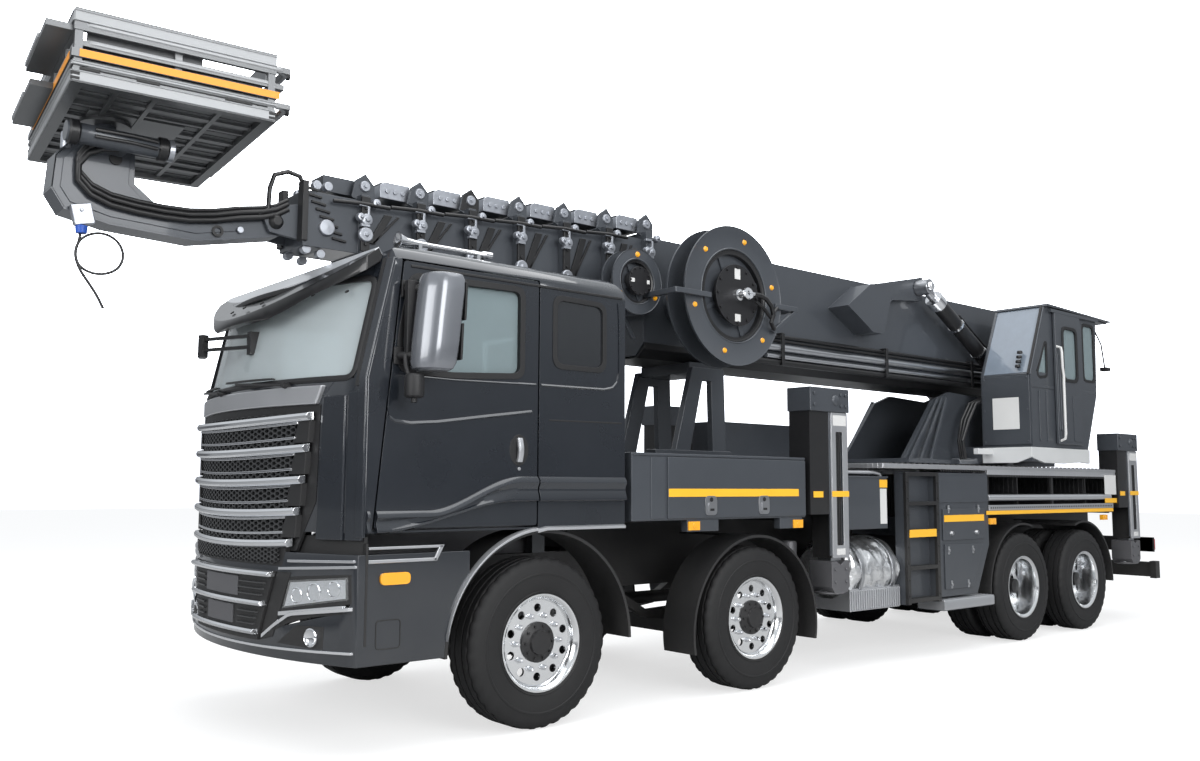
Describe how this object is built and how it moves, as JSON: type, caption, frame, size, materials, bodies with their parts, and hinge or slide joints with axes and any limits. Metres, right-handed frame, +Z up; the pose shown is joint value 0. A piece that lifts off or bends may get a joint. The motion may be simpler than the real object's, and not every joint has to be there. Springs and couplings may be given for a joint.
{
  "type": "truck-mounted aerial work platform",
  "caption": "Heavy four-axle lorry carrying a slewing telescopic boom with a folding work platform, side operator cab and sliding outriggers.",
  "frame": {"origin": "on the ground under the middle of the vehicle's overall box", "axes": "+X forward along the vehicle, +Y to the driver's left, +Z up"},
  "size_m": [12.0888, 3, 3.9998],
  "materials": {
    "cab_paint": "gunmetal metallic, clear coat",
    "upper_paint": "dark grey satin",
    "frame_paint": "black satin",
    "black_plastic": "moulded black",
    "bright_trim": "bright",
    "clear_lens": "clear lens over reflector",
    "window_glass": "clear",
    "tread_plate": "mill finish",
    "steel_rod": "ground",
    "barrel_paint": "black gloss",
    "cast_block": "as cast",
    "tyre": "rubber on an alloy wheel"
  },
  "bodies": {
    "chassis": {"chassis_frame": "frame_paint", "subframe": "frame_paint", "deck": "tread_plate", "axles": "frame_paint", "engine_block": "cast_block", "cab_shell": "cab_paint", "grille": "bright_trim", "front_bumper": "cab_paint", "lamps": "clear_lens", "sun_visor": "black_plastic", "cab_glass": "window_glass", "front_mirror": "frame_paint", "cab_interior": "black_plastic", "mudguards": "black_plastic", "toolboxes": "upper_paint", "side_cabinets": "upper_paint", "tanks": "tread_plate", "boom_rest": "frame_paint", "rear_bumper": "frame_paint"},
    "knuckle_front_left": {"knuckle_front_left": "frame_paint"},
    "wheel_front_left": {"wheel_front_left": "tyre"},
    "knuckle_front_right": {"knuckle_front_right": "frame_paint"},
    "wheel_front_right": {"wheel_front_right": "tyre"},
    "knuckle_second_left": {"knuckle_second_left": "frame_paint"},
    "wheel_second_left": {"wheel_second_left": "tyre"},
    "knuckle_second_right": {"knuckle_second_right": "frame_paint"},
    "wheel_second_right": {"wheel_second_right": "tyre"},
    "wheel_third_left": {"wheel_third_left": "tyre"},
    "wheel_third_right": {"wheel_third_right": "tyre"},
    "wheel_rear_left": {"wheel_rear_left": "tyre"},
    "wheel_rear_right": {"wheel_rear_right": "tyre"},
    "left_door": {"left_door": "cab_paint"},
    "right_door": {"right_door": "cab_paint"},
    "outrigger_beam_front_left": {"outrigger_beam_front_left": "frame_paint"},
    "outrigger_leg_front_left": {"outrigger_leg_front_left": "steel_rod"},
    "outrigger_beam_front_right": {"outrigger_beam_front_right": "frame_paint"},
    "outrigger_leg_front_right": {"outrigger_leg_front_right": "steel_rod"},
    "outrigger_beam_rear_left": {"outrigger_beam_rear_left": "frame_paint"},
    "outrigger_leg_rear_left": {"outrigger_leg_rear_left": "steel_rod"},
    "outrigger_beam_rear_right": {"outrigger_beam_rear_right": "frame_paint"},
    "outrigger_leg_rear_right": {"outrigger_leg_rear_right": "steel_rod"},
    "turret": {"turret": "upper_paint", "operator_cab": "upper_paint"},
    "operator_door": {"operator_door": "upper_paint"},
    "boom_base": {"boom_base": "upper_paint"},
    "boom_section_2": {"boom_section_2": "upper_paint"},
    "boom_section_3": {"boom_section_3": "upper_paint"},
    "boom_section_4": {"boom_section_4": "upper_paint"},
    "boom_section_5": {"boom_section_5": "upper_paint"},
    "boom_section_6": {"boom_section_6": "upper_paint"},
    "boom_section_7": {"boom_section_7": "upper_paint"},
    "levelling_arm": {"levelling_arm": "upper_paint"},
    "platform": {"platform": "tread_plate"},
    "lift_barrels": {"lift_barrels": "barrel_paint"},
    "lift_rods": {"lift_rods": "steel_rod"},
    "hose_reel_left": {"hose_reel_left": "barrel_paint"},
    "hose_reel_right": {"hose_reel_right": "barrel_paint"},
    "cable_reel": {"cable_reel": "barrel_paint"}
  },
  "joints": [
    {"name": "steer_front_left", "type": "hinge", "parent": "chassis", "child": "knuckle_front_left", "pos_m": [3.2056, 0.84, 0.525], "axis": [0, 0, 1], "range_deg": [-38, 38]},
    {"name": "wheel_front_left_spin", "type": "hinge", "parent": "knuckle_front_left", "child": "wheel_front_left", "pos_m": [3.2056, 1.05, 0.525], "axis": [0, 1, 0], "continuous": true},
    {"name": "steer_front_right", "type": "hinge", "parent": "chassis", "child": "knuckle_front_right", "pos_m": [3.2056, -0.84, 0.525], "axis": [0, 0, 1], "range_deg": [-38, 38]},
    {"name": "wheel_front_right_spin", "type": "hinge", "parent": "knuckle_front_right", "child": "wheel_front_right", "pos_m": [3.2056, -1.05, 0.525], "axis": [0, 1, 0], "continuous": true},
    {"name": "steer_second_left", "type": "hinge", "parent": "chassis", "child": "knuckle_second_left", "pos_m": [1.2056, 0.84, 0.525], "axis": [0, 0, 1], "range_deg": [-25, 25]},
    {"name": "wheel_second_left_spin", "type": "hinge", "parent": "knuckle_second_left", "child": "wheel_second_left", "pos_m": [1.2056, 1.05, 0.525], "axis": [0, 1, 0], "continuous": true},
    {"name": "steer_second_right", "type": "hinge", "parent": "chassis", "child": "knuckle_second_right", "pos_m": [1.2056, -0.84, 0.525], "axis": [0, 0, 1], "range_deg": [-25, 25]},
    {"name": "wheel_second_right_spin", "type": "hinge", "parent": "knuckle_second_right", "child": "wheel_second_right", "pos_m": [1.2056, -1.05, 0.525], "axis": [0, 1, 0], "continuous": true},
    {"name": "wheel_third_left_spin", "type": "hinge", "parent": "chassis", "child": "wheel_third_left", "pos_m": [-2.7644, 0.89, 0.525], "axis": [0, 1, 0], "continuous": true},
    {"name": "wheel_third_right_spin", "type": "hinge", "parent": "chassis", "child": "wheel_third_right", "pos_m": [-2.7644, -0.89, 0.525], "axis": [0, 1, 0], "continuous": true},
    {"name": "wheel_rear_left_spin", "type": "hinge", "parent": "chassis", "child": "wheel_rear_left", "pos_m": [-4.0644, 0.89, 0.525], "axis": [0, 1, 0], "continuous": true},
    {"name": "wheel_rear_right_spin", "type": "hinge", "parent": "chassis", "child": "wheel_rear_right", "pos_m": [-4.0644, -0.89, 0.525], "axis": [0, 1, 0], "continuous": true},
    {"name": "left_door_hinge", "type": "hinge", "parent": "chassis", "child": "left_door", "pos_m": [4.33511, 1.223, 2], "axis": [0.1001, 0, -0.995], "range_deg": [0, 70]},
    {"name": "right_door_hinge", "type": "hinge", "parent": "chassis", "child": "right_door", "pos_m": [4.33511, -1.223, 2], "axis": [-0.1001, 0, 0.995], "range_deg": [0, 70]},
    {"name": "outrigger_beam_front_left_slide", "type": "slide", "parent": "chassis", "child": "outrigger_beam_front_left", "axis": [0, 1, 0], "range_m": [0, 1.45]},
    {"name": "outrigger_leg_front_left_slide", "type": "slide", "parent": "outrigger_beam_front_left", "child": "outrigger_leg_front_left", "axis": [0, 0, -1], "range_m": [0, 0.67]},
    {"name": "outrigger_beam_front_right_slide", "type": "slide", "parent": "chassis", "child": "outrigger_beam_front_right", "axis": [0, -1, 0], "range_m": [0, 1.45]},
    {"name": "outrigger_leg_front_right_slide", "type": "slide", "parent": "outrigger_beam_front_right", "child": "outrigger_leg_front_right", "axis": [0, 0, -1], "range_m": [0, 0.67]},
    {"name": "outrigger_beam_rear_left_slide", "type": "slide", "parent": "chassis", "child": "outrigger_beam_rear_left", "axis": [0, 1, 0], "range_m": [0, 1.45]},
    {"name": "outrigger_leg_rear_left_slide", "type": "slide", "parent": "outrigger_beam_rear_left", "child": "outrigger_leg_rear_left", "axis": [0, 0, -1], "range_m": [0, 0.67]},
    {"name": "outrigger_beam_rear_right_slide", "type": "slide", "parent": "chassis", "child": "outrigger_beam_rear_right", "axis": [0, -1, 0], "range_m": [0, 1.45]},
    {"name": "outrigger_leg_rear_right_slide", "type": "slide", "parent": "outrigger_beam_rear_right", "child": "outrigger_leg_rear_right", "axis": [0, 0, -1], "range_m": [0, 0.67]},
    {"name": "slew", "type": "hinge", "parent": "chassis", "child": "turret", "pos_m": [-3.4144, 0, 1.745], "axis": [0, 0, 1], "continuous": true},
    {"name": "operator_door_slide", "type": "slide", "parent": "turret", "child": "operator_door", "axis": [-1, 0, 0], "range_m": [0, 0.45]},
    {"name": "boom_lift", "type": "hinge", "parent": "turret", "child": "boom_base", "pos_m": [-5.1444, 0, 3.15], "axis": [0, -1, 0], "range_deg": [0, 80]},
    {"name": "telescope_2", "type": "slide", "parent": "boom_base", "child": "boom_section_2", "axis": [1, 0, 0], "range_m": [0, 5.6]},
    {"name": "telescope_3", "type": "slide", "parent": "boom_section_2", "child": "boom_section_3", "axis": [1, 0, 0], "range_m": [0, 5.6]},
    {"name": "telescope_4", "type": "slide", "parent": "boom_section_3", "child": "boom_section_4", "axis": [1, 0, 0], "range_m": [0, 5.6]},
    {"name": "telescope_5", "type": "slide", "parent": "boom_section_4", "child": "boom_section_5", "axis": [1, 0, 0], "range_m": [0, 5.6]},
    {"name": "telescope_6", "type": "slide", "parent": "boom_section_5", "child": "boom_section_6", "axis": [1, 0, 0], "range_m": [0, 5.6]},
    {"name": "telescope_7", "type": "slide", "parent": "boom_section_6", "child": "boom_section_7", "axis": [1, 0, 0], "range_m": [0, 5.6]},
    {"name": "arm_level", "type": "hinge", "parent": "boom_section_7", "child": "levelling_arm", "pos_m": [4.5656, 0, 3.17], "axis": [0, 1, 0], "range_deg": [0, 80]},
    {"name": "platform_swing", "type": "hinge", "parent": "levelling_arm", "child": "platform", "pos_m": [5.5756, 0, 3.595], "axis": [0, 0, 1], "range_deg": [-90, 90]},
    {"name": "lift_barrel_hinge", "type": "hinge", "parent": "turret", "child": "lift_barrels", "pos_m": [-4.5444, 0, 2.25], "axis": [0, -1, 0], "range_deg": [0, 67.71]},
    {"name": "lift_rod_slide", "type": "slide", "parent": "lift_barrels", "child": "lift_rods", "axis": [0.8671, 0, 0.4982], "range_m": [0, 1.2131]},
    {"name": "hose_reel_left_spin", "type": "hinge", "parent": "boom_base", "child": "hose_reel_left", "pos_m": [1.2056, 0.9, 2.98], "axis": [0, 1, 0], "continuous": true},
    {"name": "hose_reel_right_spin", "type": "hinge", "parent": "boom_base", "child": "hose_reel_right", "pos_m": [1.2056, -0.9, 2.98], "axis": [0, 1, 0], "continuous": true},
    {"name": "cable_reel_spin", "type": "hinge", "parent": "boom_base", "child": "cable_reel", "pos_m": [1.9856, 0.665, 3.03], "axis": [0, 1, 0], "continuous": true}
  ],
  "couplings": [
    {"joint": "steer_front_right", "follows": "steer_front_left", "ratio": 1},
    {"joint": "steer_second_left", "follows": "steer_front_left", "ratio": 0.65},
    {"joint": "steer_second_right", "follows": "steer_front_left", "ratio": 0.65},
    {"joint": "telescope_3", "follows": "telescope_2", "ratio": 1},
    {"joint": "telescope_4", "follows": "telescope_2", "ratio": 1},
    {"joint": "telescope_5", "follows": "telescope_2", "ratio": 1},
    {"joint": "telescope_6", "follows": "telescope_2", "ratio": 1},
    {"joint": "telescope_7", "follows": "telescope_2", "ratio": 1},
    {"joint": "arm_level", "follows": "boom_lift", "ratio": 1},
    {"joint": "lift_barrel_hinge", "follows": "boom_lift", "ratio": 0.8457},
    {"joint": "lift_rod_slide", "follows": "boom_lift", "m_per_rad": 0.8674}
  ]
}
